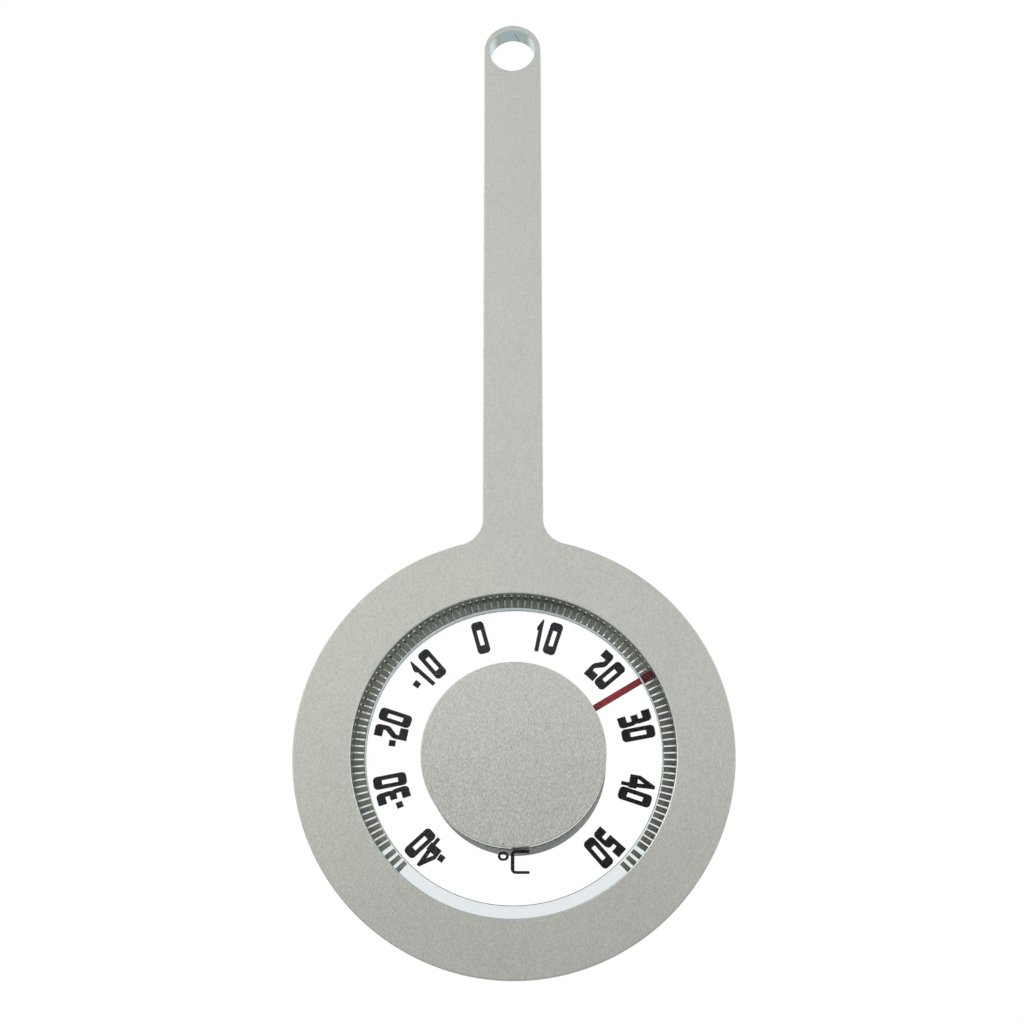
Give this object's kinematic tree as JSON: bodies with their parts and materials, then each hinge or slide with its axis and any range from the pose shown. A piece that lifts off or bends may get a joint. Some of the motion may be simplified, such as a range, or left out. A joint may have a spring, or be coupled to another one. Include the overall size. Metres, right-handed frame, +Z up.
{
  "type": "window thermometer",
  "caption": "Hanging bimetal thermometer: flat metal ring on a long arm with an eye, clear printed dial, red pointer, centre knob and rear movement housing.",
  "frame": {"origin": "centre of the hanging eye, halfway through the plate", "axes": "+Z up along the arm, -Y out of the face of the dial, +X to the right as the dial is read"},
  "size_m": [0.11, 0.0247, 0.2574],
  "materials": {
    "satin_plate": "fine satin, blasted",
    "knob_plate": "fine satin, blasted",
    "housing_steel": "plain, dull",
    "clear_acrylic": "clear, polished",
    "gasket_rubber": "matt, grey",
    "spacer": "satin",
    "print_black": "screen print",
    "print_olive": "screen print",
    "pointer_red": "satin",
    "brass": "turned",
    "steel": "turned",
    "bimetal": "rolled strip",
    "adhesive": "foam tape"
  },
  "bodies": {
    "case": {"frame_plate": "satin_plate", "front_gasket": "gasket_rubber", "clear_cover": "clear_acrylic", "spacer_ring": "spacer", "dial_plate": "clear_acrylic", "tick_band": "print_olive", "numerals": "print_black", "unit_mark": "print_black", "rear_gasket": "gasket_rubber", "rear_ring": "housing_steel", "ring_screws": "steel", "front_knob": "knob_plate", "knob_pad": "adhesive", "front_bush": "brass", "movement_plate": "brass", "pillars": "brass", "bridge": "brass", "bridge_screws": "steel", "friction_washer": "steel", "housing_gasket": "gasket_rubber", "rear_housing": "housing_steel", "housing_screws": "steel", "rear_cover": "housing_steel", "cover_screws": "steel"},
    "calibration": {"anchor_plate": "brass", "anchor_post": "steel", "bimetal_coil": "bimetal", "rear_bush": "brass", "sleeve_clip": "steel", "adjuster_head": "brass"},
    "pointer_shaft": {"pointer": "pointer_red", "pointer_hub": "brass", "arbor": "steel", "coil_collet": "brass"}
  },
  "joints": [
    {"name": "calibration_turn", "type": "hinge", "parent": "case", "child": "calibration", "pos_m": [0, 0, -0.1947], "axis": [0, 1, 0], "range_deg": [-8, 8]},
    {"name": "pointer_turn", "type": "hinge", "parent": "calibration", "child": "pointer_shaft", "pos_m": [0, 0, -0.1947], "axis": [0, 1, 0], "range_deg": [-194, 76], "stiffness_Nm_per_rad": 0.002}
  ]
}
